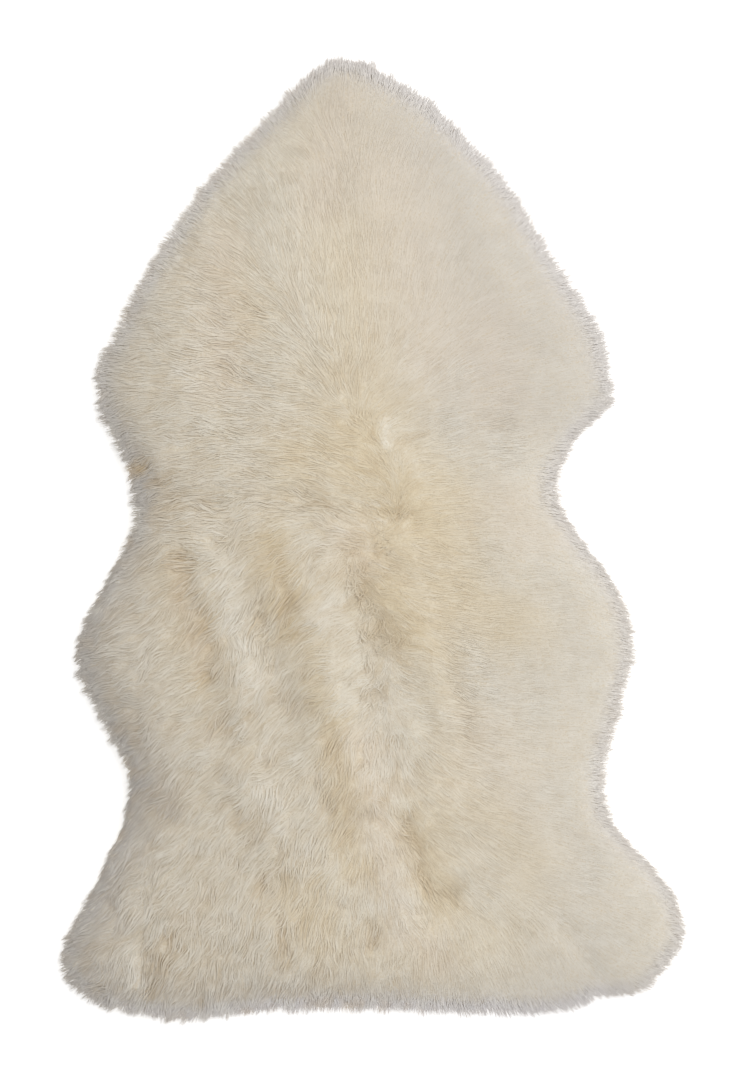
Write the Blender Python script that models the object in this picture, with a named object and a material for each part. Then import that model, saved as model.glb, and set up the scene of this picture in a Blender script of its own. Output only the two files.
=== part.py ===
"""A sheepskin rug: one whole pelt, tanned with its wool on, lying flat on the floor.

The pelt is one piece, so it is one solid. Its underside is the skin, a thin flat sheet of
leather. The wool stands on the skin, hangs over its edge all round, and ends at the rim in
locks that droop to the floor. +Y runs along the spine to the neck, and +Z is up. The origin
is on the floor, at the middle of the rug's length and width.
"""

import math

import bmesh
import bpy
from mathutils import Vector, noise
from mathutils.geometry import delaunay_2d_cdt

# Sizes, in metres.
SKIN_THICKNESS = 0.0025
CROWN_HEIGHT = 0.046  # top of the wool over the middle of the rug
LOCK_REACH = 0.0075  # how far the body of the wool lies inside the outline of the lock tips
OVERHANG = 0.022  # how far the body of the wool hangs over the skin's edge
RIM_STEPS = 280  # corners round the rim; there is one lock for each
CROWN_MESH = 0.0165  # spacing of the points over the top of the wool
CROWN_MARGIN = 0.6  # how near the crown's edge those points come, as a share of their spacing
SHOULDER_RUN = 0.030  # how far in from the crown's edge the wool takes to reach its full height

CURVE_STEPS = 24  # fine steps between two landmarks of the outline
INSET_STEP = 0.003  # longest single step when the outline is moved inwards
INSET_EVENING = 0.5  # how far each corner is then drawn to the middle of its two neighbours

WOOL_COLOUR = (0.80, 0.72, 0.59, 1.0)
WOOL_ROUGHNESS = 0.95

# The wool's outline, measured to the lock tips, as sections across the spine.
# Columns: how far along the spine, the left edge, the right edge.
SECTIONS = (
    (0.483, -0.067, 0.010),  # neck
    (0.449, -0.098, 0.062),
    (0.399, -0.147, 0.113),
    (0.349, -0.187, 0.152),
    (0.300, -0.221, 0.180),
    (0.250, -0.251, 0.214),
    (0.213, -0.266, 0.238),
    (0.183, -0.286, 0.244),
    (0.150, -0.289, 0.249),  # forelegs
    (0.129, -0.283, 0.242),
    (0.100, -0.267, 0.211),
    (0.052, -0.249, 0.189),  # waist
    (0.017, -0.248, 0.206),
    (-0.033, -0.275, 0.245),
    (-0.083, -0.300, 0.268),
    (-0.125, -0.307, 0.270),  # belly
    (-0.166, -0.295, 0.260),
    (-0.200, -0.275, 0.250),
    (-0.241, -0.254, 0.240),  # flanks
    (-0.283, -0.259, 0.244),
    (-0.316, -0.274, 0.272),
    (-0.349, -0.289, 0.302),
    (-0.383, -0.303, 0.320),
    (-0.411, -0.321, 0.324),  # hind legs
    (-0.441, -0.324, 0.308),
)
NECK_TIP = (-0.035, 0.498)
# The tail end, from the right hind leg to the left. Columns: across, along.
TAIL_EDGE = (
    (0.279, -0.471),
    (0.232, -0.476),
    (0.191, -0.492),
    (0.113, -0.493),
    (0.050, -0.491),
    (-0.043, -0.489),
    (-0.116, -0.492),
    (-0.189, -0.500),
    (-0.262, -0.491),
    (-0.308, -0.470),
)

# The section of the rim, from the skin's underside up to the edge of the crown.
# Columns: how far in from the widest line of the wool's body, height, share of the relief.
RIM_PROFILE = (
    (OVERHANG, 0.0, 0.0),  # skin, underside
    (OVERHANG, SKIN_THICKNESS, 0.0),  # skin, wool side
    (0.003, 0.0055, 0.0),  # lower edge of the wool
    (0.0, 0.0135, 0.0),  # widest line
    (0.004, 0.0225, 0.1),  # upper edge of the rim
    (0.015, 0.0310, 0.5),  # shoulder
    (0.030, 0.0375, 1.0),  # edge of the crown
)
LOWER_LOCKS = 2  # the row of the profile under the lower row of locks
UPPER_LOCKS = 3  # the row of the profile under the upper row of locks

# The ridges and furrows that the wool's weight and combing leave on the crown.
# Columns: start across, start along, end across, end along, half width, rise (a furrow is below 0).
FOLDS = (
    (-0.178, -0.005, -0.137, -0.170, 0.018, 0.0065),  # left flank
    (-0.118, -0.060, -0.092, -0.190, 0.014, -0.0065),
    (-0.074, -0.050, -0.022, -0.260, 0.020, 0.0060),  # belly
    (-0.017, -0.050, 0.002, -0.170, 0.013, -0.0065),
    (0.030, -0.050, 0.076, -0.180, 0.017, 0.0050),  # right flank
    (-0.137, -0.235, -0.076, -0.354, 0.017, 0.0055),  # left haunch
    (0.030, -0.290, 0.059, -0.374, 0.012, -0.0060),  # beside the tail
    (-0.230, -0.385, -0.238, -0.478, 0.011, -0.0090),  # left hind leg
    (0.196, -0.395, 0.238, -0.463, 0.012, -0.0070),  # right hind leg
    (-0.235, 0.043, -0.074, 0.036, 0.009, -0.0060),  # waist parting
    (-0.074, 0.036, 0.040, 0.019, 0.009, -0.0060),
    (-0.243, 0.078, -0.232, 0.050, 0.010, -0.0070),  # left elbow
)
# The fleece's own unevenness. Columns: width of a lump, height, which slice of the noise.
LUMPS = (
    (0.060, 0.0050, 0.0),
    (0.030, 0.0035, 7.3),
)

# The locks at the rim. They end near the outline, further out in the middle of a clump.
LOCK_CLUMP = 0.022  # width of a clump
LOWER_END = 1.1  # where a lower lock ends, as a share of the way from its root to the outline
UPPER_END = 0.9
LOCK_UNEVEN = 0.8  # how much that share changes with the clumps
LOCK_LEAN = 0.0045  # how far a lock's tip leans towards the tail
LOCK_SWAY = 0.007  # how far it leans to either side with its clump
LOWER_TIP = 0.0012  # height of a lower lock's tip, just clear of the floor
UPPER_TIP = 0.0105
BEND_ALONG = 0.52  # where a lock bends, as a share of the way to its tip
BEND_SIDE = 0.25  # how much of its lean and sway it has there
BEND_DROP = 0.3  # how much of its droop
BEND_SIZE = 0.7  # how thick it still is there, as a share of its root
CLUMP_SLICE = 3.1  # which slices of the noise the clumps and their sway come from
SWAY_SLICE = 9.4


def clear_scene():
    """Empty the scene."""
    for old in list(bpy.data.objects):
        bpy.data.objects.remove(old)


def outline_landmarks():
    """The corners of the tip outline, clockwise from the neck as seen from above."""
    right = [Vector((right, along)) for along, _, right in SECTIONS]
    left = [Vector((left, along)) for along, left, _ in SECTIONS]
    tail = [Vector(corner) for corner in TAIL_EDGE]
    return [Vector(NECK_TIP), *right, *tail, *reversed(left)]


def through(corners, count):
    """A closed smooth curve through the corners, a Catmull-Rom spline, as evenly spaced points."""
    fine = []
    for i, here in enumerate(corners):
        before, after, beyond = (corners[(i + k) % len(corners)] for k in (-1, 1, 2))
        for step in range(CURVE_STEPS):
            t = step / CURVE_STEPS
            fine.append(
                0.5 * (2 * here + (after - before) * t
                       + (2 * before - 5 * here + 4 * after - beyond) * t * t
                       + (3 * here - before - 3 * after + beyond) * t ** 3)
            )
    reached = [0.0]
    for i, here in enumerate(fine):
        reached.append(reached[-1] + (fine[(i + 1) % len(fine)] - here).length)
    evenly, span = [], 0
    for step in range(count):
        wanted = reached[-1] * step / count
        while reached[span + 1] < wanted:
            span += 1
        share = (wanted - reached[span]) / (reached[span + 1] - reached[span])
        evenly.append(fine[span].lerp(fine[(span + 1) % len(fine)], share))
    return evenly


def outward(ring, i, spread=8):
    """The unit normal of a clockwise ring at its corner i, evened over a few neighbours."""
    along = ring[(i + spread) % len(ring)] - ring[i - spread]
    return Vector((-along.y, along.x)).normalized()


def inset(ring, distance):
    """The ring moved inwards, in small steps that stay smooth at the tips."""
    steps = math.ceil(distance / INSET_STEP)
    for _ in range(steps):
        moved = [p - outward(ring, i) * (distance / steps) for i, p in enumerate(ring)]
        ring = []
        for i, p in enumerate(moved):
            between = (moved[i - 1] + moved[(i + 1) % len(moved)]) / 2
            ring.append(p.lerp(between, INSET_EVENING))
    return ring


def relief(place):
    """How far the crown stands above or below its plain height here."""
    rise = 0.0
    for x0, y0, x1, y1, half_width, height in FOLDS:
        start, run = Vector((x0, y0)), Vector((x1 - x0, y1 - y0))
        share = min(1.0, max(0.0, (place - start).dot(run) / run.length_squared))
        away = (place - start - run * share).length
        rise += height * math.exp(-((away / half_width) ** 2))
    for size, height, noise_slice in LUMPS:
        rise += height * noise.noise(Vector((place.x / size, place.y / size, noise_slice)))
    return rise


def raise_rim(bm, body_edge):
    """The skin and the rim as one cap pulled up and out ring by ring. Returns each ring's corners."""
    rings, cap = [], None
    for inwards, height, share in RIM_PROFILE:
        places = [
            Vector((p.x, p.y, height + share * relief(p))) for p in inset(body_edge, inwards)
        ]
        if cap is None:
            cap = bm.faces.new([bm.verts.new(p) for p in places])
        else:
            cap = bmesh.ops.extrude_discrete_faces(bm, faces=[cap])["faces"][0]
            for corner, place in zip(cap.verts, places):
                corner.co = place
        rings.append(list(cap.verts))
    bm.faces.remove(cap)
    bm.faces.new(rings[0])
    return rings


def cover_crown(bm, edge):
    """The top of the wool: a net of triangles inside the crown's edge, raised to the pile's height."""
    ring = [corner.co.xy for corner in edge]
    row_gap = CROWN_MESH * math.sqrt(0.75)
    rows = math.ceil(max(corner.length for corner in ring) / row_gap)
    margin = CROWN_MARGIN * CROWN_MESH
    inner = []
    for row in range(-rows, rows):
        for column in range(-rows, rows):
            place = Vector(((column + 0.5 * (row % 2)) * CROWN_MESH, row * row_gap))
            if inside(place, ring) and to_ring(place, ring) > margin:
                inner.append(place)
    flat, _, triangles, *_ = delaunay_2d_cdt(ring + inner, [], [list(range(len(ring)))], 1, 1e-6)
    corners = list(edge)
    edge_height = RIM_PROFILE[-1][1]
    for place in flat[len(ring):]:
        climb = 1 - math.exp(-to_ring(place, ring) / SHOULDER_RUN)
        height = edge_height + (CROWN_HEIGHT - edge_height) * climb + relief(place)
        corners.append(bm.verts.new((place.x, place.y, height)))
    for triangle in triangles:
        bm.faces.new([corners[i] for i in triangle])


def to_ring(place, ring):
    """Distance from a place to the nearest corner of a ring."""
    return min((place - corner).length for corner in ring)


def inside(place, ring):
    """Whether a place lies inside a ring, by counting the edges to its right."""
    odd = False
    for i, b in enumerate(ring):
        a = ring[i - 1]
        if (a.y > place.y) != (b.y > place.y):
            if place.x < a.x + (place.y - a.y) * (b.x - a.x) / (b.y - a.y):
                odd = not odd
    return odd


def pull_lock(bm, face, way, side, drop):
    """One lock of wool, drawn out of a face of the rim, drooping and brought to a point."""
    root = face.calc_center_median()
    down = Vector((0.0, 0.0, -drop))
    middle = bmesh.ops.extrude_discrete_faces(bm, faces=[face])["faces"][0]
    bend = root + BEND_ALONG * way + BEND_SIDE * side + BEND_DROP * down
    for corner in middle.verts:
        corner.co = bend + (corner.co - root) * BEND_SIZE
    end = bmesh.ops.extrude_discrete_faces(bm, faces=[middle])["faces"][0]
    bmesh.ops.pointmerge(bm, verts=list(end.verts), merge_co=root + way + side + down)


def face_between(a, b, c, d):
    """The face that has all four corners."""
    return next(f for f in a.link_faces if {a, b, c, d} == set(f.verts))


def add_locks(bm, rings, tips):
    """Locks round the rim, in turn from its lower and its upper row of faces."""
    faces = []
    for i in range(RIM_STEPS):
        row = UPPER_LOCKS if i % 2 else LOWER_LOCKS
        j = (i + 1) % RIM_STEPS
        corners = (rings[row][i], rings[row][j], rings[row + 1][i], rings[row + 1][j])
        faces.append((face_between(*corners), row, (tips[i] + tips[j]) / 2, outward(tips, i)))
    for face, row, tip, normal in faces:
        root = face.calc_center_median()
        clump = noise.noise(Vector((root.x / LOCK_CLUMP, root.y / LOCK_CLUMP, CLUMP_SLICE)))
        sway = noise.noise(Vector((root.x / LOCK_CLUMP, root.y / LOCK_CLUMP, SWAY_SLICE)))
        end = LOWER_END if row == LOWER_LOCKS else UPPER_END
        way = (tip - root.xy) * (end + LOCK_UNEVEN * clump)
        side = Vector((-normal.y, normal.x)) * LOCK_SWAY * sway
        side.y -= LOCK_LEAN * abs(normal.x)
        drop = root.z - (LOWER_TIP if row == LOWER_LOCKS else UPPER_TIP)
        pull_lock(bm, face, way.to_3d(), side.to_3d(), drop)


def wool_material():
    """Cream wool, washed and combed."""
    material = bpy.data.materials.new("wool")
    material.use_nodes = True
    surface = material.node_tree.nodes["Principled BSDF"]
    surface.inputs["Base Color"].default_value = WOOL_COLOUR
    surface.inputs["Roughness"].default_value = WOOL_ROUGHNESS
    surface.inputs["Metallic"].default_value = 0.0
    return material


def make_pelt():
    """The whole pelt as one closed solid."""
    bm = bmesh.new()
    tips = through(outline_landmarks(), RIM_STEPS)
    rings = raise_rim(bm, inset(tips, LOCK_REACH))
    cover_crown(bm, rings[-1])
    add_locks(bm, rings, tips)
    bmesh.ops.recalc_face_normals(bm, faces=list(bm.faces))
    across = [v.co.x for v in bm.verts]
    along = [v.co.y for v in bm.verts]
    middle = Vector(((min(across) + max(across)) / 2, (min(along) + max(along)) / 2, 0.0))
    bmesh.ops.translate(bm, verts=list(bm.verts), vec=-middle)
    mesh = bpy.data.meshes.new("pelt")
    bm.to_mesh(mesh)
    bm.free()
    mesh.materials.append(wool_material())
    mesh.shade_smooth()
    return bpy.data.objects.new("pelt", mesh)


def main():
    clear_scene()
    rug = bpy.data.collections.new("sheepskin_rug")
    bpy.context.scene.collection.children.link(rug)
    rug.objects.link(make_pelt())


main()
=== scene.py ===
import math

import bmesh
import bpy
import numpy as np
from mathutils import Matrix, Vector, noise
from mathutils.bvhtree import BVHTree
from mathutils.kdtree import KDTree


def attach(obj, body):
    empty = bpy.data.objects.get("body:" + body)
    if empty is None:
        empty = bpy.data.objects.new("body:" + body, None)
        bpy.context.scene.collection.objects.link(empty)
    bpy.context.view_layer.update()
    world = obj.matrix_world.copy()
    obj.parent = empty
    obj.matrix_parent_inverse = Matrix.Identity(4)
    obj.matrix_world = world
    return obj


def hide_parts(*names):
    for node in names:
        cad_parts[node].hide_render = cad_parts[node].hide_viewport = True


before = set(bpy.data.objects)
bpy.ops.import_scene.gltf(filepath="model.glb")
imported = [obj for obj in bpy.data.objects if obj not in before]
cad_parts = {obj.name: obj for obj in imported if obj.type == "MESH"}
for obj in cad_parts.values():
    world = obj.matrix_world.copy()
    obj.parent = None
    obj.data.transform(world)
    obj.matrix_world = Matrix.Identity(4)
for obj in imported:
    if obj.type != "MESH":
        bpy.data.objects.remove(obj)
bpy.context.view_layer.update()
scene = bpy.context.scene

# The skin: the tanned hide that the wool grows on. It is one flat sheet of leather, cut at the
# pelt's own outline and laid with its suede side on the floor. The wool hangs over its edge, all
# round.
SKIN_THICKNESS = 0.0022
UNDERSIDE = 0.0002  # the solid's faces below this height are its underside
SAME_CORNER = 0.00001
FLAT_WITHIN = math.radians(1)


def merged_copy(node):
    """The CAD solid as one closed mesh, its loose triangles joined."""
    bm = bmesh.new()
    bm.from_mesh(node.data)
    bmesh.ops.remove_doubles(bm, verts=list(bm.verts), dist=SAME_CORNER)
    return bm


def add_piece(name, bm):
    """A new object of the scene from a bmesh, which is freed."""
    mesh = bpy.data.meshes.new(name)
    bm.to_mesh(mesh)
    bm.free()
    piece = bpy.data.objects.new(name, mesh)
    scene.collection.objects.link(piece)
    return piece


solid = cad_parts["pelt"]
skin_bm = merged_copy(solid)
upper_faces = [f for f in skin_bm.faces if max(v.co.z for v in f.verts) > UNDERSIDE]
bmesh.ops.delete(skin_bm, geom=upper_faces, context="FACES")
bmesh.ops.dissolve_limit(
    skin_bm, angle_limit=FLAT_WITHIN, verts=list(skin_bm.verts), edges=list(skin_bm.edges)
)
lower_side = list(skin_bm.faces)
extruded = bmesh.ops.extrude_face_region(skin_bm, geom=lower_side)
upper_verts = [g for g in extruded["geom"] if isinstance(g, bmesh.types.BMVert)]
bmesh.ops.translate(skin_bm, verts=upper_verts, vec=(0.0, 0.0, SKIN_THICKNESS))
bmesh.ops.triangulate(skin_bm, faces=list(skin_bm.faces))
bmesh.ops.recalc_face_normals(skin_bm, faces=list(skin_bm.faces))
skin = add_piece("skin", skin_bm)


def new_material(name):
    """A material with a Principled shader. Returns it, its node tree and the shader."""
    material = bpy.data.materials.new(name)
    material.use_nodes = True
    tree = material.node_tree
    return material, tree, tree.nodes["Principled BSDF"]


leather, tree, shader = new_material("suede_hide")
shader.inputs["Sheen Weight"].default_value = 0.3
place = tree.nodes.new("ShaderNodeTexCoord")
blotches = tree.nodes.new("ShaderNodeTexNoise")
blotches.inputs["Scale"].default_value = 11.0
blotches.inputs["Detail"].default_value = 5.0
nap = tree.nodes.new("ShaderNodeTexNoise")
nap.inputs["Scale"].default_value = 700.0
nap.inputs["Detail"].default_value = 4.0
wrinkles = tree.nodes.new("ShaderNodeTexVoronoi")
wrinkles.feature = "DISTANCE_TO_EDGE"
wrinkles.inputs["Scale"].default_value = 90.0
for texture in (blotches, nap, wrinkles):
    tree.links.new(place.outputs["Object"], texture.inputs["Vector"])
hide_colour = tree.nodes.new("ShaderNodeValToRGB")
hide_colour.color_ramp.elements[0].position = 0.35
hide_colour.color_ramp.elements[0].color = (0.560, 0.440, 0.295, 1.0)
hide_colour.color_ramp.elements[1].position = 0.65
hide_colour.color_ramp.elements[1].color = (0.690, 0.580, 0.430, 1.0)
tree.links.new(blotches.outputs["Fac"], hide_colour.inputs["Fac"])
napped = tree.nodes.new("ShaderNodeMix")
napped.data_type = "RGBA"
napped.blend_type = "OVERLAY"
napped.inputs["Factor"].default_value = 0.35
tree.links.new(hide_colour.outputs["Color"], napped.inputs["A"])
tree.links.new(nap.outputs["Color"], napped.inputs["B"])
tree.links.new(napped.outputs["Result"], shader.inputs["Base Color"])
roughness = tree.nodes.new("ShaderNodeMapRange")
roughness.inputs["To Min"].default_value = 0.82
roughness.inputs["To Max"].default_value = 0.98
tree.links.new(nap.outputs["Fac"], roughness.inputs["Value"])
tree.links.new(roughness.outputs["Result"], shader.inputs["Roughness"])
creases = tree.nodes.new("ShaderNodeBump")
creases.inputs["Strength"].default_value = 0.25
creases.inputs["Distance"].default_value = 0.0006
tree.links.new(wrinkles.outputs["Distance"], creases.inputs["Height"])
nap_bump = tree.nodes.new("ShaderNodeBump")
nap_bump.inputs["Strength"].default_value = 0.35
nap_bump.inputs["Distance"].default_value = 0.0004
tree.links.new(nap.outputs["Fac"], nap_bump.inputs["Height"])
tree.links.new(creases.outputs["Normal"], nap_bump.inputs["Normal"])
tree.links.new(nap_bump.outputs["Normal"], shader.inputs["Normal"])
skin.data.materials.append(leather)
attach(skin, "root")
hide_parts("pelt")

# The underwool: the dense part of the fleece, down between the locks. It stands on the skin, and
# past the skin's edge it sags to the floor. Its partings, where the wool is parted down to its
# yellower roots, and its tufts are pressed into it here.
BURIED_SIDEWAYS = 0.0014  # how far the underwool lies inside the fleece's outer form at its rim
BURIED_DOWN = 0.0022  # and on its crown
UNDERWOOL_CELL = 0.006
SMOOTHINGS = 4
HANGING = 0.012  # below this height, the wool past the skin's edge sags to the floor
SAG = 0.009
OFF_FLOOR = 0.0006
# The wool is ruffled to the left of a line down the rug, which lies further left at the neck, and
# more so from the belly down. It is curly along the spine, up to the neck.
RUFFLE_LINE, RUFFLE_FADE = 0.05, 0.045
RUFFLED_NECK, NECK_FADE, NECK_SHIFT = 0.21, 0.04, 0.15
RUFFLED_BELLY, BELLY_FADE = 0.04, 0.05
RUFFLE, BELLY_RUFFLE = 0.85, 0.45
SPINE, SPINE_WIDTH = 0.02, 0.075
CURLS_END, CURLS_FADE = 0.22, 0.04
# The noise that makes the wool uneven. Columns: strength, width of a patch, slice of the noise.
WANDER_ACROSS = (0.009, 0.020, 1.5)  # of lines that the combing bends to and fro
WANDER_ALONG = (0.009, 0.020, 4.5)
RUFFLES = (0.0014, 0.014, 6.5)  # the height of the ruffled wool
# Columns: from across, along, to across, along, half width, height in millimetres.
PARTINGS = (
    (-0.197, -0.015, -0.176, -0.080, 0.0085, -3.0), (-0.176, -0.080, -0.160, -0.145, 0.010, -3.3),
    (-0.150, 0.002, -0.136, -0.030, 0.007, -1.0), (-0.117, -0.062, -0.106, -0.135, 0.006, -1.8),
    (-0.092, -0.030, -0.078, -0.095, 0.012, -2.5), (-0.088, -0.160, -0.082, -0.175, 0.009, -1.0),
    (-0.122, -0.177, -0.112, -0.181, 0.006, -3.4), (-0.157, -0.200, -0.133, -0.213, 0.007, -1.8),
    (-0.141, -0.252, -0.130, -0.288, 0.007, -2.0), (-0.112, -0.344, -0.104, -0.360, 0.0075, -3.6),
    (-0.097, -0.378, -0.084, -0.425, 0.007, -2.6), (-0.206, -0.412, -0.224, -0.462, 0.011, -2.2),
    (-0.004, -0.388, 0.001, -0.412, 0.007, -3.0), (-0.012, -0.042, 0.026, -0.112, 0.009, -1.5),
    (-0.042, -0.190, -0.018, -0.300, 0.010, -1.2), (-0.046, -0.262, -0.040, -0.276, 0.005, -2.0),
    (0.036, -0.290, 0.056, -0.345, 0.009, -2.0), (0.060, -0.355, 0.084, -0.368, 0.007, -1.8),
    (0.086, -0.125, 0.100, -0.200, 0.008, -1.0), (0.022, 0.026, 0.036, 0.022, 0.009, -1.3),
    (-0.235, 0.040, -0.150, 0.033, 0.005, -2.0), (-0.060, 0.043, -0.028, 0.030, 0.006, -1.8),
    (-0.238, -0.240, -0.212, -0.268, 0.015, -1.6),
    (-0.247, 0.078, -0.242, 0.072, 0.008, -4.0), (-0.226, 0.056, -0.205, 0.064, 0.007, -3.0),
    (-0.124, 0.242, -0.116, 0.226, 0.010, -0.9), (-0.155, 0.178, -0.128, 0.168, 0.008, -1.0),
    (0.118, 0.122, 0.142, 0.116, 0.008, -0.9), (0.034, 0.102, 0.052, 0.110, 0.004, -1.0),
)
TUFTS = (
    (-0.162, -0.006, -0.138, -0.050, 0.009, 1.5), (-0.138, -0.070, -0.116, -0.150, 0.011, 2.6),
    (-0.129, -0.172, -0.126, -0.205, 0.007, 1.6), (-0.178, -0.215, -0.170, -0.225, 0.011, 1.2),
    (-0.106, -0.248, -0.084, -0.285, 0.015, 1.5), (-0.052, -0.085, -0.022, -0.165, 0.009, 1.5),
    (0.072, -0.177, 0.075, -0.180, 0.006, 1.8), (0.094, -0.100, 0.116, -0.150, 0.010, 1.0),
    (-0.070, -0.316, -0.050, -0.326, 0.011, 1.2), (-0.242, -0.370, -0.236, -0.382, 0.013, 1.2),
    (-0.247, -0.425, -0.243, -0.460, 0.010, 2.0), (0.026, -0.365, 0.036, -0.390, 0.009, 1.2),
    (0.010, 0.112, 0.020, 0.098, 0.010, 1.6), (0.070, 0.166, 0.090, 0.162, 0.011, 1.0),
    (0.066, 0.126, 0.086, 0.122, 0.008, 0.9), (-0.182, 0.155, -0.175, 0.192, 0.011, 1.0),
    (-0.056, 0.215, -0.046, 0.200, 0.013, 0.9), (0.140, 0.092, 0.160, 0.088, 0.016, 0.9),
)


def patches(places, strength, width, cut):
    """Smooth noise of a strength and width at each of a list of places across the rug."""
    spots = places[:, :2] / width
    return strength * np.array([noise.noise((x, y, cut)) for x, y in spots])


def below(values, edge, fade):
    """From 1 well below an edge to 0 well above it, fading on both its sides."""
    return 1 / (1 + np.exp((values - edge) / fade))


def ruffled(places):
    """How ruffled the wool is: hardly on the right and at the neck, most on the left flank."""
    x, y = places[:, 0], places[:, 1]
    high = below(-y, -RUFFLED_NECK, NECK_FADE)
    low = below(y, RUFFLED_BELLY, BELLY_FADE)
    side = below(x + NECK_SHIFT * high, RUFFLE_LINE, RUFFLE_FADE)
    return (RUFFLE + BELLY_RUFFLE * low) * side


def tangled(places):
    """How curly the wool is: along the spine it isn't combed flat but stands in fine curls."""
    x, y = places[:, 0], places[:, 1]
    return np.exp(-(((x - SPINE) / SPINE_WIDTH) ** 2)) * below(y, CURLS_END, CURLS_FADE)


def wandering(places):
    """The same places, shifted a little to and fro, so that straight lines come out uneven."""
    moved = np.array(places[:, :2])
    moved[:, 0] += patches(places, *WANDER_ACROSS)
    moved[:, 1] += patches(places, *WANDER_ALONG)
    return moved


def pressed(places, table):
    """Each place's nearness to the lines of a table, from 0 to 1, and its height in metres."""
    near, height = np.zeros((2, len(places)))
    for x0, y0, x1, y1, half_width, rise in table:
        start, run = np.array([x0, y0]), np.array([x1 - x0, y1 - y0])
        share = np.clip(((places[:, :2] - start) @ run) / (run @ run), 0, 1)
        away = np.linalg.norm(places[:, :2] - start - share[:, None] * run, axis=1)
        here = np.exp(-((away / half_width) ** 2))
        near = np.maximum(near, here)
        height += here * rise / 1000
    return near, height


underwool = add_piece("underwool", merged_copy(solid))
remesh = underwool.modifiers.new("even_net", "REMESH")
remesh.mode = "VOXEL"
remesh.voxel_size = UNDERWOOL_CELL
remeshed = bpy.data.meshes.new_from_object(
    underwool.evaluated_get(bpy.context.evaluated_depsgraph_get())
)
underwool.modifiers.clear()
underwool.data = remeshed
bm = bmesh.new()
bm.from_mesh(remeshed)
for _ in range(SMOOTHINGS):
    bmesh.ops.smooth_vert(
        bm, verts=list(bm.verts), factor=0.5, use_axis_x=True, use_axis_y=True, use_axis_z=True
    )
bm.normal_update()
spots = np.array([v.co[:] for v in bm.verts])
moved = wandering(spots)
relief = pressed(moved, PARTINGS)[1] + pressed(moved, TUFTS)[1]
relief += ruffled(spots) * patches(spots, *RUFFLES)
skin_tree = BVHTree.FromObject(skin, bpy.context.evaluated_depsgraph_get())
for (v, normal), lift in zip([(v, v.normal.copy()) for v in bm.verts], relief):
    v.co.x -= normal.x * BURIED_SIDEWAYS
    v.co.y -= normal.y * BURIED_SIDEWAYS
    v.co.z = max(v.co.z + max(normal.z, 0.0) * (lift - BURIED_DOWN), SKIN_THICKNESS)
    if v.co.z < HANGING and skin_tree.ray_cast(v.co, (0.0, 0.0, -1.0))[0] is None:
        v.co.z = max(v.co.z - SAG * (1 - v.co.z / HANGING), OFF_FLOOR)
bm.normal_update()
bm.to_mesh(underwool.data)
bm.free()
underwool.data.shade_smooth()

# The rim of the wool, which is measured from the underwool's side wall.
RIM_WIDTH = 0.012
STEEP = 0.3  # the side wall's normals rise less than this
mesh = underwool.data
corners = np.empty(len(mesh.vertices) * 3)
mesh.vertices.foreach_get("co", corners)
corners = corners.reshape(-1, 3)
normals = np.empty(len(mesh.vertices) * 3)
mesh.vertices.foreach_get("normal", normals)
normals = normals.reshape(-1, 3)
wall = corners[np.abs(normals[:, 2]) < STEEP]
wall_tree = KDTree(len(wall))
for i, (x, y, z) in enumerate(wall):
    wall_tree.insert((x, y, 0.0), i)
wall_tree.balance()


def inside_wall(places):
    """How far each place is from the underwool's side wall, in plan."""
    return np.array([wall_tree.find((x, y, 0.0))[2] for x, y, z in places])


def rim_of(places):
    """How near each place is to the side wall, from 1 on it to 0 well inside."""
    return np.exp(-((inside_wall(places) / RIM_WIDTH) ** 2))


# Where the wool isn't its plain cream. Columns: from across, along, to across, along, half width,
# share. It is yellow with lanolin in the first table and faint peach in the second. The third is
# painted shade, darker and greyer: strong over the left rim, which faces away from the lamp, its
# bays and the tail's corner, and faint in broad patches, most over the right side, which the lamp
# lights most.
YELLOWED = (
    (-0.030, 0.44, -0.01, 0.14, 0.050, 0.42), (-0.01, 0.09, 0.05, 0.01, 0.050, 0.75),
    (0.00, -0.02, 0.045, -0.10, 0.030, 0.80), (0.07, -0.05, 0.14, -0.09, 0.036, 0.70),
    (-0.075, 0.085, -0.068, 0.065, 0.028, 0.45), (-0.10, 0.00, -0.08, -0.09, 0.022, 0.70),
    (-0.05, -0.12, -0.015, -0.33, 0.020, 0.60), (0.04, -0.29, 0.07, -0.37, 0.022, 0.60),
    (-0.07, -0.36, -0.05, -0.40, 0.028, 0.50), (-0.20, -0.02, -0.17, -0.14, 0.024, 0.38),
    (-0.13, 0.26, -0.12, 0.22, 0.025, 0.30), (0.12, -0.28, 0.160, -0.33, 0.032, 0.50),
    (0.075, 0.04, 0.07, -0.32, 0.032, 0.30), (-0.03, -0.45, 0.14, -0.40, 0.045, 0.30),
)
BLUSHED = (
    (0.02, 0.37, 0.07, 0.19, 0.055, 0.55), (0.12, 0.22, 0.13, 0.15, 0.035, 0.55),
    (-0.15, 0.30, -0.15, 0.16, 0.028, 0.40), (-0.03, 0.45, -0.05, 0.34, 0.022, 0.50),
    (-0.01, -0.20, 0.03, -0.40, 0.020, 0.45), (-0.02, 0.00, -0.01, -0.02, 0.022, 0.50),
    (0.06, -0.41, 0.07, -0.43, 0.020, 0.45), (0.13, 0.04, 0.16, 0.01, 0.035, 0.40),
    (-0.19, -0.03, -0.17, -0.13, 0.010, 0.45), (0.11, -0.20, 0.14, -0.24, 0.040, 0.30),
)
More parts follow.
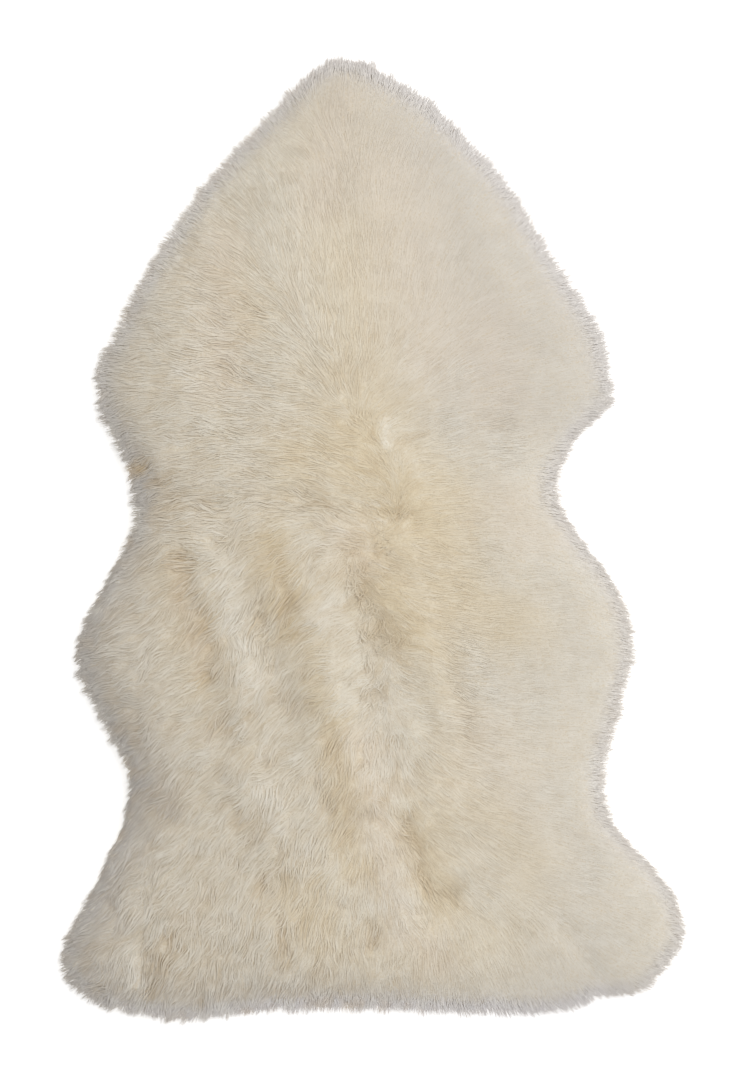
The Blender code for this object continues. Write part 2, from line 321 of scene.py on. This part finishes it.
PAINTED_SHADE = (
    (-0.300, 0.17, -0.250, 0.06, 0.022, 0.8), (-0.245, 0.07, -0.235, 0.05, 0.018, 1.0),
    (-0.300, -0.10, -0.290, -0.14, 0.020, 0.9), (-0.240, -0.240, -0.212, -0.268, 0.020, 0.8),
    (-0.285, -0.33, -0.275, -0.36, 0.014, 0.9), (-0.318, -0.40, -0.275, -0.475, 0.026, 0.9),
    (-0.20, -0.49, 0.10, -0.49, 0.022, 0.15), (-0.245, -0.09, -0.235, -0.21, 0.026, 0.20),
    (0.24, 0.20, 0.25, -0.48, 0.120, 0.36), (-0.25, 0.20, -0.25, -0.48, 0.110, 0.14),
    (0.07, 0.42, 0.12, 0.16, 0.080, 0.38), (-0.01, 0.49, -0.03, 0.38, 0.055, 0.30),
    (0.06, -0.04, 0.12, -0.13, 0.045, 0.18), (0.12, -0.30, 0.20, -0.32, 0.040, 0.12),
)
# How the rim differs from the wool beside it, on all sides. Columns: across, along, how much
# painted shade it gets (below 0, painted light), how far in that reaches, and how pale and cool
# the wool's thin ends are, with painted light on the rim's wall.
RIM_TONES = (
    (-0.02, 0.50, 0.50, 0.045, 0.60), (0.10, 0.42, 0.52, 0.055, 0.58),
    (0.20, 0.29, 0.52, 0.055, 0.55), (0.28, 0.16, 0.44, 0.045, 0.52),
    (0.22, 0.05, 0.10, 0.030, 0.50), (0.29, -0.12, -0.12, 0.018, 0.50),
    (0.24, -0.28, -0.12, 0.018, 0.50), (0.32, -0.43, 0.02, 0.025, 0.50),
    (0.15, -0.50, 0.42, 0.042, 0.85), (-0.05, -0.50, 0.64, 0.045, 0.80),
    (-0.22, -0.50, 0.74, 0.042, 0.55), (-0.32, -0.44, 1.00, 0.052, 0.08),
    (-0.25, -0.28, 1.00, 0.036, 0.04), (-0.30, -0.10, 1.00, 0.034, 0.04),
    (-0.25, 0.05, 0.80, 0.026, 0.08), (-0.28, 0.17, 0.56, 0.026, 0.28),
    (-0.20, 0.29, 0.30, 0.018, 0.48), (-0.10, 0.42, 0.22, 0.016, 0.55),
)
RIM_TONE_REACH = 0.07
PALE_LIT_REACH = 0.013  # how far in from the wall the thin ends are pale and the wall gets painted light
DEEPEST = 0.0035  # the depth of a parting that gets its roots' full colour and full painted shade
HIGHEST = 0.0018  # the height of a tuft that gets its full painted highlight
# More of the noise, in the same columns as above.
DEEPER_HERE = (0.8, 0.012, 8.0)  # how unevenly the partings show their roots' colour and painted shade
# Painted shade in the ruffled wool's dips and painted light on its rises: the same noise as
# RUFFLES.
RUFFLE_SHADING = (0.65, 0.014, 6.5)
CURLED_SHADES = (1.00, 0.010, 3.0)
# How much single strands stand out: in smooth wool, how much more in ruffled wool, and at most.
SMOOTH_STRANDS, RUFFLED_STRANDS, MOST_STRANDS = 0.30, 1.05, 1.35
CURLY_STRANDS = 0.45  # how much less they do in curly wool
WALL_PAINTED_LIGHT = 1.5  # how much whiter the underwool is at the rim: painted light that lifts the shade on its wall


def toned(mesh, places, along, strand):
    """Stores what a mesh's wool material reads: tones, painted shade and light, rim, place along
    the strand.
    """
    yellow, peach, shade_share = np.zeros((3, len(places)))
    moved = wandering(places)
    for tone, table in ((yellow, YELLOWED), (peach, BLUSHED), (shade_share, PAINTED_SHADE)):
        for x0, y0, x1, y1, half_width, share in table:
            near = pressed(moved, ((x0, y0, x1, y1, half_width, 0.0),))[0] * share
            tone[:] = tone + near * (1 - tone)
    # Painted shade down in the partings and in the ruffled wool's dips, painted light on the
    # tufts and on its rises, and random light and dark mottles in the curls.
    shade_and_mottles = -pressed(moved, PARTINGS)[1] / DEEPEST * (1 + patches(places, *DEEPER_HERE))
    shade_and_mottles -= pressed(moved, TUFTS)[1] / HIGHEST
    shade_and_mottles -= ruffled(places) * patches(places, *RUFFLE_SHADING)
    shade_and_mottles += tangled(places) * patches(places, *CURLED_SHADES)
    away = inside_wall(places)
    sums, total = np.zeros((3, len(places))), np.zeros(len(places))
    for x, y, *tone in RIM_TONES:
        near = np.exp(-((places[:, 0] - x) ** 2 + (places[:, 1] - y) ** 2) / RIM_TONE_REACH**2)
        sums += (near + 1e-9) * np.array(tone)[:, None]
        total += near + 1e-9
    rim_shade, reach, pale = sums / total
    # The rim's painted shade, or painted light where it is below 0; then its pale ends, with
    # painted light on the wall.
    shade_share += rim_shade * np.exp(-((away / reach) ** 2)) * (1 - shade_share)
    pale = pale * np.exp(-((away / PALE_LIT_REACH) ** 2))
    contrast = np.minimum(SMOOTH_STRANDS + RUFFLED_STRANDS * ruffled(places), MOST_STRANDS)
    contrast *= 1 - CURLY_STRANDS * tangled(places)
    strand = 0.5 + (strand - 0.5) * contrast
    # The painted shade at each wisp's root: stronger in ruffled wool, gone at the rim.
    along = 1 - (1 - along) * contrast * (1 - np.exp(-((away / RIM_WIDTH) ** 2)))
    for name, values in (("tones", (yellow, peach, shade_and_mottles)), ("rim", (shade_share, pale, 0 * pale)),
                         ("strand", (along, strand, 0 * pale))):
        attribute = mesh.attributes.new(name, "FLOAT_VECTOR", "POINT")
        attribute.data.foreach_set("vector", np.stack(values, 1).ravel())


# The colours of the wool.
CREAM = (0.742, 0.682, 0.565)
CREAM_WARM = (0.745, 0.663, 0.532)
YELLOW = (0.740, 0.612, 0.400)
PEACHY = (0.770, 0.648, 0.505)
# Painted shade: the darker, greyer colour of the shaded rim and of the third table's patches.
SHADE_GREY = (0.500, 0.462, 0.422)
# Pale, cool thin ends, and painted light that lifts the shade on the rim's wall.
PALE_LIT_RIM = (0.765, 0.738, 0.752)
ROOT_TAN_AND_SHADE = (0.560, 0.450, 0.290)  # the roots' yellower colour with painted shade where the wisps rise, tan mottles, and the underwool's painted groove shade
PARTING_SHADE = (0.580, 0.440, 0.260)  # down in a parting: its roots' colour and painted shade, by its depth
WHITE_ENDS_AND_HIGHLIGHT = (0.850, 0.815, 0.730)  # bleached ends and random strands; also painted highlight on tufts and ruffled rises, and painted light on the underwool's rim wall


def wool_colours():
    """A node group that gives the wool's colour, painted shade and light included, from the tones
    and strands on it.
    """
    group = bpy.data.node_groups.new("wool_colours", "ShaderNodeTree")
    # Depth: the underwool's painted shade in the grooves of its fibres.
    socket = group.interface.new_socket("Depth", in_out="INPUT", socket_type="NodeSocketFloat")
    socket.default_value = 0.0
    group.interface.new_socket("Color", in_out="OUTPUT", socket_type="NodeSocketColor")
    nodes, link = group.nodes, group.links.new
    inlet, outlet = nodes.new("NodeGroupInput"), nodes.new("NodeGroupOutput")

    def parts(name):
        attribute = nodes.new("ShaderNodeAttribute")
        attribute.attribute_name = name
        split = nodes.new("ShaderNodeSeparateXYZ")
        link(attribute.outputs["Vector"], split.inputs["Vector"])
        return split.outputs

    def mix(factor, first, second, share=1.0):
        node = nodes.new("ShaderNodeMix")
        node.data_type = "RGBA"
        scaled = nodes.new("ShaderNodeMath")
        scaled.operation = "MULTIPLY"
        scaled.use_clamp = True
        scaled.inputs[1].default_value = share
        link(factor, scaled.inputs[0])
        link(scaled.outputs[0], node.inputs["Factor"])
        for value, socket in ((first, node.inputs["A"]), (second, node.inputs["B"])):
            if isinstance(value, tuple):
                socket.default_value = (*value, 1.0)
            else:
                link(value, socket)
        return node.outputs["Result"]

    yellow, peach, shade_and_mottles = parts("tones")
    shade_share, pale = parts("rim")[:2]
    along, strand = parts("strand")[:2]
    place = nodes.new("ShaderNodeTexCoord")
    cloudy = nodes.new("ShaderNodeTexNoise")
    cloudy.inputs["Scale"].default_value = 22.0
    cloudy.inputs["Detail"].default_value = 3.0
    link(place.outputs["Object"], cloudy.inputs["Vector"])
    patchy = nodes.new("ShaderNodeMapRange")
    patchy.inputs["From Min"].default_value = 0.42
    patchy.inputs["From Max"].default_value = 0.70
    link(cloudy.outputs["Fac"], patchy.inputs["Value"])
    colour = mix(patchy.outputs["Result"], CREAM, CREAM_WARM, share=0.6)
    for scale, tone, share in ((75.0, ROOT_TAN_AND_SHADE, 0.30), (52.0, WHITE_ENDS_AND_HIGHLIGHT, 0.40)):
        mottles = nodes.new("ShaderNodeTexNoise")
        mottles.inputs["Scale"].default_value = scale
        mottles.inputs["Detail"].default_value = 3.0
        link(place.outputs["Object"], mottles.inputs["Vector"])
        spread = nodes.new("ShaderNodeMapRange")
        spread.inputs["From Min"].default_value = 0.45
        spread.inputs["From Max"].default_value = 0.75
        link(mottles.outputs["Fac"], spread.inputs["Value"])
        colour = mix(spread.outputs["Result"], colour, tone, share=share)
    colour = mix(yellow, colour, YELLOW, share=1.2)
    colour = mix(peach, colour, PEACHY)
    # Painted shade, from the third table and from the rim.
    colour = mix(shade_share, colour, SHADE_GREY)
    # The pale thin ends, and painted light on the rim's wall.
    colour = mix(pale, colour, PALE_LIT_RIM)
    # Painted shade in partings and dips, painted highlight on tufts and rises, and the curls'
    # mottles.
    colour = mix(shade_and_mottles, colour, PARTING_SHADE, share=0.5)
    colour = mix(shade_and_mottles, colour, WHITE_ENDS_AND_HIGHLIGHT, share=-0.45)
    # Each wisp's root: its yellower colour, with painted shade where it rises from the underwool.
    roots = nodes.new("ShaderNodeMapRange")
    roots.inputs["From Min"].default_value = 0.0
    roots.inputs["From Max"].default_value = 0.7
    roots.inputs["To Min"].default_value = 0.31
    roots.inputs["To Max"].default_value = 0.0
    link(along, roots.inputs["Value"])
    colour = mix(roots.outputs["Result"], colour, ROOT_TAN_AND_SHADE)
    # Lighter and darker strands at random, and on the underwool's wall at the rim, painted light.
    colour = mix(strand, colour, WHITE_ENDS_AND_HIGHLIGHT, share=0.30)
    # The underwool's painted shade in the grooves of its fibres.
    colour = mix(inlet.outputs["Depth"], colour, ROOT_TAN_AND_SHADE)
    link(colour, outlet.inputs["Color"])
    return group


colours = wool_colours()

under_wool, tree, shader = new_material("underwool")
shader.inputs["Roughness"].default_value = 0.95
tint = tree.nodes.new("ShaderNodeGroup")
tint.node_tree = colours
tree.links.new(tint.outputs["Color"], shader.inputs["Base Color"])
fibres = tree.nodes.new("ShaderNodeTexNoise")
fibres.inputs["Scale"].default_value = 450.0
fibres.inputs["Detail"].default_value = 4.0
place = tree.nodes.new("ShaderNodeTexCoord")
hanging = tree.nodes.new("ShaderNodeMapping")
hanging.inputs["Scale"].default_value = (1.0, 1.0, 0.12)
tree.links.new(place.outputs["Object"], hanging.inputs["Vector"])
tree.links.new(hanging.outputs["Vector"], fibres.inputs["Vector"])
# Painted shade in the grooves of the fibres' bump, passed to the colours as Depth.
depth = tree.nodes.new("ShaderNodeMapRange")
depth.inputs["From Min"].default_value = 0.40
depth.inputs["From Max"].default_value = 0.58
depth.inputs["To Min"].default_value = 0.40
depth.inputs["To Max"].default_value = -0.05
tree.links.new(fibres.outputs["Fac"], depth.inputs["Value"])
tree.links.new(depth.outputs["Result"], tint.inputs["Depth"])
bump = tree.nodes.new("ShaderNodeBump")
bump.inputs["Strength"].default_value = 0.5
bump.inputs["Distance"].default_value = 0.0010
tree.links.new(fibres.outputs["Fac"], bump.inputs["Height"])
tree.links.new(bump.outputs["Normal"], shader.inputs["Normal"])
underwool.data.materials.append(under_wool)
halfway = np.full(len(corners), 0.5)
# At the rim the underwool's strands are whiter: painted light on its wall between the rim's
# wisps.
toned(underwool.data, corners, halfway, 0.5 + WALL_PAINTED_LIGHT * rim_of(corners))
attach(underwool, "root")
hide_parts("pelt")

# The locks of wool: fine wisps, pointed at both ends, each rooted in the underwool. They lie the
# way the fleece was combed, out from the spine and down to the tail, and draw together in clumps.
LOCKS = 76500
LOCK_LENGTH = 0.029
SCATTER, RIM_SCATTER = 0.18, 0.30  # how far the lengths scatter, and how much more at the rim
SHORTEST, LONGEST = 0.45, 1.6
RIM_SHORTER = 0.62  # how much shorter a wisp is at the rim
LOCK_WIDTH = 0.00080
RIM_FINER = 0.50  # and how much narrower
RIM_FACES_UP = 2.5  # how far the flat of a wisp turns up there
RIDGE = 0.12  # height of a wisp's middle over its sides, as a share of its width
GAP_ACROSS, GAP_DOWN = 0.05, 0.03  # round a wisp on the map, as shares of its cell
ROOT_DEPTH = 0.0010
LOWEST = 0.0010  # the least height of a wisp over the floor
# How high each wisp stands over the underwool at each third of its length, in millimetres.
# Columns: where the wool is smooth, where it is ruffled.
HEIGHTS = ((0.10, 0.60), (0.15, 0.85), (-0.05, 0.40))
UNEVEN = 0.45  # how far the wisps' heights scatter
RIM_CLIMB = (0.10, 0.00, -0.10)  # how steeply each third climbs at the rim
DOWNHILL, UPHILL = -0.35, 0.5  # the steepest that a wisp follows the underwool
PARTED_RUFFLE = 0.5  # how much more ruffled the wool is at a parting or a tuft
STRAY = 0.10  # how far the wisps' headings scatter, in radians
LOOSE_STRAY, CURLY_STRAY = 3, 4  # how much more where the combing divides, and in the curls
MOST_TURN = 0.45  # how far a wisp can turn at each third
RIM_CALMER = 0.6  # how much less the wool waves and clumps at the rim
RIM_CROWDING = 7.0  # how much closer the wisps stand at the rim
TURNED_UNDER, FULLY_UP = 0.1, 0.5  # rises of the normal that the crowding grows between
CLUMP = 14  # wisps that draw together
# How far their tips do: in smooth wool, how much further in ruffled wool, and at the rim.
SMOOTH_CLUMP, RUFFLED_CLUMP, RIM_CLUMP = 0.08, 0.35, 0.15
CLUMP_CURVE = 1.5  # above 1, they draw together nearer the tips
# More of the noise, in the same columns as above.
WAVES = (0.50, 0.030, 2.0)  # the turns of the combing, in radians
CRIMPS = (0.65, 0.013, 5.0)
SMOOTH_WAVES, RUFFLED_WAVES = 0.35, 0.9  # the share of them in smooth wool, and more in ruffled
RIM_TUFTS = (0.35, 0.011, 9.0)  # how far the wisps' length differs at the rim

# Which way the wool is combed. Columns: across, along, heading in degrees from +X, reach.
COMBING = (
    (-0.03, 0.48, 90, 0.04), (-0.10, 0.42, 140, 0.04), (0.04, 0.43, 65, 0.04),
    (-0.17, 0.35, 155, 0.05), (-0.23, 0.24, 168, 0.05), (-0.27, 0.16, 185, 0.04),
    (-0.06, 0.33, 105, 0.06), (-0.02, 0.24, 100, 0.06), (0.06, 0.30, 70, 0.06),
    (0.13, 0.33, 35, 0.05), (0.18, 0.22, 18, 0.06), (0.22, 0.16, 12, 0.05),
    (-0.13, 0.22, 165, 0.05), (-0.17, 0.13, 178, 0.05), (-0.10, 0.13, 172, 0.05),
    (-0.27, 0.13, 200, 0.03), (-0.24, 0.08, 210, 0.03), (-0.18, 0.06, 186, 0.05),
    (0.05, 0.18, 35, 0.05), (0.08, 0.11, 12, 0.05), (0.15, 0.12, 4, 0.05), (0.24, 0.14, -6, 0.03),
    (0.17, 0.05, -2, 0.04), (0.09, 0.04, 10, 0.04), (-0.02, 0.06, 160, 0.04),
    (-0.20, 0.01, 185, 0.04), (-0.22, -0.03, 202, 0.04), (-0.24, -0.07, 213, 0.05),
    (-0.27, -0.12, 200, 0.04), (-0.17, -0.07, 226, 0.04), (-0.09, -0.05, 222, 0.04),
    (-0.10, -0.12, 240, 0.04), (-0.13, -0.09, 258, 0.03), (-0.23, -0.19, 214, 0.05),
    (-0.13, -0.22, 226, 0.05), (-0.19, -0.30, 230, 0.05), (-0.26, -0.40, 226, 0.05),
    (-0.32, -0.41, 192, 0.03),
    (-0.23, -0.46, 248, 0.04), (-0.16, -0.42, 246, 0.05), (-0.08, -0.28, 236, 0.05),
    (-0.09, -0.40, 252, 0.05), (-0.16, -0.49, 262, 0.04), (-0.03, -0.48, 270, 0.05),
    (-0.01, -0.32, 248, 0.04), (0.00, -0.24, 256, 0.03), (-0.03, -0.12, 205, 0.04),
    (0.07, -0.05, -15, 0.05), (0.14, 0.00, -6, 0.05), (0.20, 0.01, -18, 0.04),
    (0.24, -0.05, -22, 0.04), (0.25, -0.12, -8, 0.05), (0.16, -0.10, 2, 0.06),
    (0.07, -0.13, -20, 0.04), (0.02, -0.29, -60, 0.03), (0.06, -0.28, -45, 0.04),
    (0.11, -0.25, -20, 0.05), (0.19, -0.24, -4, 0.05), (0.24, -0.24, 0, 0.04),
    (0.09, -0.33, -42, 0.05), (0.14, -0.32, -20, 0.05), (0.22, -0.30, -16, 0.05),
    (0.28, -0.36, -20, 0.05), (0.30, -0.41, -15, 0.04), (0.26, -0.44, -36, 0.04),
    (0.22, -0.47, -55, 0.04), (0.13, -0.44, -62, 0.05), (0.11, -0.48, -80, 0.04),
    (0.03, -0.44, -92, 0.05), (0.04, -0.37, -64, 0.04), (-0.01, -0.37, 262, 0.04),
)

rng = np.random.default_rng(11)


def combed(places, waviness):
    """The heading of the wool at each place, and how far its neighbours' headings differ."""
    pull, total = np.zeros((len(places), 2)), np.zeros(len(places))
    for x, y, heading, reach in COMBING:
        near = np.exp(-((places[:, 0] - x) ** 2 + (places[:, 1] - y) ** 2) / reach**2) + 1e-6
        pull[:, 0] += near * math.cos(math.radians(heading))
        pull[:, 1] += near * math.sin(math.radians(heading))
        total += near
    turn = patches(places, *WAVES) + patches(places, *CRIMPS)
    turn *= (SMOOTH_WAVES + RUFFLED_WAVES * ruffled(places)) * waviness
    loose = 1 - np.hypot(pull[:, 0], pull[:, 1]) / total
    return np.arctan2(pull[:, 1], pull[:, 0]) + turn, loose


def unit(vectors):
    """Each vector of a list, brought to a length of 1."""
    return vectors / np.maximum(np.linalg.norm(vectors, axis=1, keepdims=True), 1e-9)


# Roots, spread evenly by area over the underwool but for its underside, and closer at the rim.
underwool.data.calc_loop_triangles()
triangles = np.empty(len(underwool.data.loop_triangles) * 3, int)
underwool.data.loop_triangles.foreach_get("vertices", triangles)
triangles = triangles.reshape(-1, 3)
a, b, c = corners[triangles].transpose(1, 0, 2)
cross = np.cross(b - a, c - a)
area = np.linalg.norm(cross, axis=1) / 2
covered = (a[:, 2] < SKIN_THICKNESS * 1.5) & (cross[:, 2] < 0)
middle = (a + b + c) / 3
upward = cross[:, 2] / (2 * area)
crowded = np.clip((upward - TURNED_UNDER) / (FULLY_UP - TURNED_UNDER), 0, 1)
area *= 1 + RIM_CROWDING * rim_of(middle) * crowded
area[covered] = 0.0
wanted = np.cumsum(area) / area.sum() * LOCKS
face = np.searchsorted(wanted, np.arange(LOCKS) + rng.uniform(0, 1, LOCKS))
face = np.minimum(face, len(triangles) - 1)
u, w = rng.uniform(0, 1, (2, LOCKS))
flip = u + w > 1
u[flip], w[flip] = 1 - u[flip], 1 - w[flip]
weights = np.stack([1 - u - w, u, w], 1)
roots = (corners[triangles[face]] * weights[:, :, None]).sum(1)
outwards = unit((normals[triangles[face]] * weights[:, :, None]).sum(1))
rim = rim_of(roots)

# Each wisp rises from its root and lies over in the combing, along the underwool's own forms.
# The places chosen above are the wisps' middles on the crown and their roots at the rim, so
# that a parting is closed by the wisps of both its sides.
under_tree = BVHTree.FromObject(underwool, bpy.context.evaluated_depsgraph_get())
scatter = SCATTER + RIM_SCATTER * rim
length = LOCK_LENGTH * (1 + scatter * rng.normal(size=LOCKS)).clip(SHORTEST, LONGEST)
length *= (1 - RIM_SHORTER * rim) * (1 + rim * patches(roots, *RIM_TUFTS))
stray = rng.normal(size=LOCKS) * STRAY
level = 1 + UNEVEN * rng.normal(size=LOCKS)
moved = wandering(roots)
parted = np.maximum(pressed(moved, PARTINGS)[0], pressed(moved, TUFTS)[0])
ruffle = ruffled(roots) + PARTED_RUFFLE * parted


def settled(places, height):
    """Places brought to a height over the underwool nearest to them, and its normals there."""
    nearest = [under_tree.find_nearest(p) for p in places]
    normal = np.array([n[1] for n in nearest])
    return np.array([n[0] for n in nearest]) + normal * height[:, None], normal


def laid(angle, up):
    """Level headings, tipped to follow the underwool's slope where it isn't steep."""
    along = np.stack([np.cos(angle), np.sin(angle), np.zeros(LOCKS)], 1)
    slope = -(along * up).sum(1) / np.maximum(up[:, 2], STEEP)
    along[:, 2] = np.clip(slope, DOWNHILL, UPHILL)
    return unit(along)


waviness = 1 - RIM_CALMER * rim
angle, loose = combed(roots, waviness)
curl = tangled(roots)
angle = angle + stray * (1 + LOOSE_STRAY * loose + parted + CURLY_STRAY * curl)
back = (length / 2 * (1 - rim))[:, None]
place, up = settled(roots - laid(angle, outwards) * back, np.full(LOCKS, -ROOT_DEPTH))
place = place * (1 - rim)[:, None] + (roots - outwards * ROOT_DEPTH) * rim[:, None]
points = [place]
for (smooth, rough), climb in zip(HEIGHTS, RIM_CLIMB):
    ahead = laid(angle, up)
    step = (length / 3)[:, None]
    free = place + unit(ahead + outwards * (climb * level)[:, None]) * step
    height = (smooth + (rough - smooth) * ruffle * (1 - 0.5 * curl)) * level / 1000
    held, up = settled(place + ahead * step, height)
    place = held * (1 - rim)[:, None] + free * rim[:, None]
    place[:, 2] = np.maximum(place[:, 2], LOWEST)
    points.append(place)
    turn = combed(place, waviness)[0] + stray - angle
    turn = (turn + math.pi) % math.tau - math.pi
    angle = angle + np.clip(turn, -MOST_TURN, MOST_TURN)

# The tips of neighbours draw together into small pointed clumps.
leaders = np.arange(0, LOCKS, CLUMP)
tree = KDTree(len(leaders))
for i, leader in enumerate(leaders):
    tree.insert(Vector(points[0][leader]), i)
tree.balance()
leader = np.array([leaders[tree.find(Vector(root))[1]] for root in points[0]])
clump = (SMOOTH_CLUMP + RUFFLED_CLUMP * ruffle) * waviness + RIM_CLUMP * rim
for step in range(1, len(points)):
    share = (clump * (step / (len(points) - 1)) ** CLUMP_CURVE)[:, None]
    points[step] = points[step] * (1 - share) + points[step][leader] * share

path = np.stack(points, 1)
facing = unit(outwards + np.stack([0 * rim, 0 * rim, RIM_FACES_UP * rim], 1))


def wisps(name, chosen):
    """One piece of wool: along each chosen path a closed wisp of three sides and two points.

    Each wisp has its own cell on the map, where its three sides lie side by side.
    """
    path_here, up_here = path[chosen], facing[chosen]
    width = (LOCK_WIDTH * (1 - RIM_FINER * rim[chosen]))[:, None]
    count = len(path_here)
    rings = [path_here[:, 0]]
    for ring in (1, 2):
        ahead = unit(path_here[:, ring + 1] - path_here[:, ring - 1])
        side = unit(np.cross(ahead, up_here + 1e-4))
        up = np.cross(side, ahead)
        rings.append(path_here[:, ring] + RIDGE * width * up)
        rings.append(path_here[:, ring] - 0.5 * width * side)
        rings.append(path_here[:, ring] + 0.5 * width * side)
    rings.append(path_here[:, 3])
    vertices = np.stack(rings, 1)
    faces = []
    for j, k in ((0, 1), (1, 2), (2, 0)):
        faces.append([0, 1 + k, 1 + j])
        faces.append([1 + j, 1 + k, 4 + k, 4 + j])
        faces.append([4 + j, 4 + k, 7])
    loops = np.concatenate([np.array(f) for f in faces])
    totals = np.array([len(f) for f in faces])
    all_loops = (loops[None] + (np.arange(count) * 8)[:, None]).ravel()
    all_totals = np.tile(totals, count)
    mesh = bpy.data.meshes.new(name)
    mesh.vertices.add(count * 8)
    mesh.vertices.foreach_set("co", vertices.reshape(-1))
    mesh.loops.add(len(all_loops))
    mesh.loops.foreach_set("vertex_index", all_loops)
    mesh.polygons.add(len(all_totals))
    starts = np.concatenate([[0], np.cumsum(all_totals)[:-1]])
    mesh.polygons.foreach_set("loop_start", starts)
    mesh.update(calc_edges=True)
    mesh.shade_smooth()
    across, down = [], []
    for j in range(3):
        across += [j + 0.5, j + 1, j, j, j + 1, j + 1, j, j, j + 1, j + 0.5]
        down += [0, 1, 1, 1, 1, 2, 2, 2, 2, 3]
    columns = math.ceil(math.sqrt(3 * count))
    lines = math.ceil(count / columns)
    cell = np.arange(count)
    u = (cell % columns)[:, None] + GAP_ACROSS + (1 - 2 * GAP_ACROSS) * np.array(across) / 3
    v = (cell // columns)[:, None] + GAP_DOWN + (1 - 2 * GAP_DOWN) * np.array(down) / 3
    cells = mesh.uv_layers.new(name="OFBake")
    cells.uv.foreach_set("vector", np.stack([u / columns, v / lines], 2).ravel())
    ends = np.empty(len(mesh.edges) * 2, int)
    mesh.edges.foreach_get("vertices", ends)
    ends = np.sort(ends.reshape(-1, 2) % 8, axis=1)
    along_side = np.zeros(len(ends), bool)
    for low, high in ((0, 2), (0, 3), (2, 5), (3, 6), (5, 7), (6, 7)):
        along_side |= (ends[:, 0] == low) & (ends[:, 1] == high)
    sharp = mesh.attributes.new("sharp_edge", "BOOLEAN", "EDGE")
    sharp.data.foreach_set("value", along_side)
    thirds = np.array([0, 1, 1, 1, 2, 2, 2, 3]) / 3
    shades = np.repeat(rng.uniform(0, 1, count), 8)
    toned(mesh, np.repeat(path_here[:, 1], 8, axis=0), np.tile(thirds, count), shades)
    piece = bpy.data.objects.new(name, mesh)
    scene.collection.objects.link(piece)
    return piece


wool, tree, shader = new_material("combed_wool")
shader.inputs["Roughness"].default_value = 0.8
shader.inputs["Specular IOR Level"].default_value = 0.25
shader.inputs["Sheen Weight"].default_value = 0.2
tint = tree.nodes.new("ShaderNodeGroup")
tint.node_tree = colours
tree.links.new(tint.outputs["Color"], shader.inputs["Base Color"])
cells = tree.nodes.new("ShaderNodeUVMap")
cells.uv_map = "OFBake"
stretched = tree.nodes.new("ShaderNodeMapping")
stretched.inputs["Scale"].default_value = (3600.0, 160.0, 1.0)
tree.links.new(cells.outputs["UV"], stretched.inputs["Vector"])
fibres = tree.nodes.new("ShaderNodeTexNoise")
fibres.inputs["Scale"].default_value = 1.0
fibres.inputs["Detail"].default_value = 2.0
tree.links.new(stretched.outputs["Vector"], fibres.inputs["Vector"])
bump = tree.nodes.new("ShaderNodeBump")
bump.inputs["Strength"].default_value = 0.35
bump.inputs["Distance"].default_value = 0.00015
tree.links.new(fibres.outputs["Fac"], bump.inputs["Height"])
tree.links.new(bump.outputs["Normal"], shader.inputs["Normal"])

# The wisps are kept as seven pieces, each a band across the rug from its neck to its tail.
BANDS = (
    ("wool_neck", 0.28, 0.60), ("wool_shoulders", 0.13, 0.28), ("wool_waist", -0.02, 0.13),
    ("wool_belly", -0.17, -0.02), ("wool_flanks", -0.30, -0.17), ("wool_rump", -0.41, -0.30),
    ("wool_tail", -0.60, -0.41),
)
for name, low, high in BANDS:
    chosen = (points[0][:, 1] >= low) & (points[0][:, 1] < high)
    band = wisps(name, chosen)
    band.data.materials.append(wool)
    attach(band, "root")
    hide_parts("pelt")

# The floor and the light: a plain pale floor, a pale room all round, and one wide soft lamp to
# the right of the rug and a little towards its neck.
floor_bm = bmesh.new()
bmesh.ops.create_grid(floor_bm, x_segments=1, y_segments=1, size=40.0)
floor = add_piece("floor", floor_bm)
floor_paint, tree, shader = new_material("floor")
shader.inputs["Base Color"].default_value = (0.92, 0.92, 0.92, 1.0)
shader.inputs["Roughness"].default_value = 0.9
shader.inputs["Emission Color"].default_value = (1.0, 1.0, 1.0, 1.0)
shader.inputs["Emission Strength"].default_value = 0.40
floor.data.materials.append(floor_paint)

world = bpy.data.worlds.new("room")
world.use_nodes = True
world.node_tree.nodes["Background"].inputs["Color"].default_value = (1.0, 1.0, 1.0, 1.0)
world.node_tree.nodes["Background"].inputs["Strength"].default_value = 0.705
scene.world = world

lamp_data = bpy.data.lights.new("softbox", "AREA")
lamp_data.shape = "RECTANGLE"
lamp_data.size = 2.4
lamp_data.size_y = 2.4
lamp_data.energy = 68.0
lamp = bpy.data.objects.new("softbox", lamp_data)
lamp.location = (2.30, 1.45, 3.15)
lamp.rotation_euler = (-Vector(lamp.location)).to_track_quat("-Z", "Y").to_euler()
scene.collection.objects.link(lamp)
scene.view_settings.view_transform = "Standard"
scene.cycles.diffuse_bounces = 10

# The camera. It looks straight down on the middle of the rug from well above it, with the
# neck at the top of the picture, so the sides of the pile hardly show.
CAMERA_HEIGHT = 2.40
VIEW_HEIGHT = 1.122  # length of floor that the picture is high
camera_data = bpy.data.cameras.new("camera")
camera_data.sensor_width = 36.0
camera_data.lens = camera_data.sensor_width * CAMERA_HEIGHT / VIEW_HEIGHT
camera = bpy.data.objects.new("camera", camera_data)
camera.location = (0.0, 0.0, CAMERA_HEIGHT)
scene.collection.objects.link(camera)
scene.camera = camera
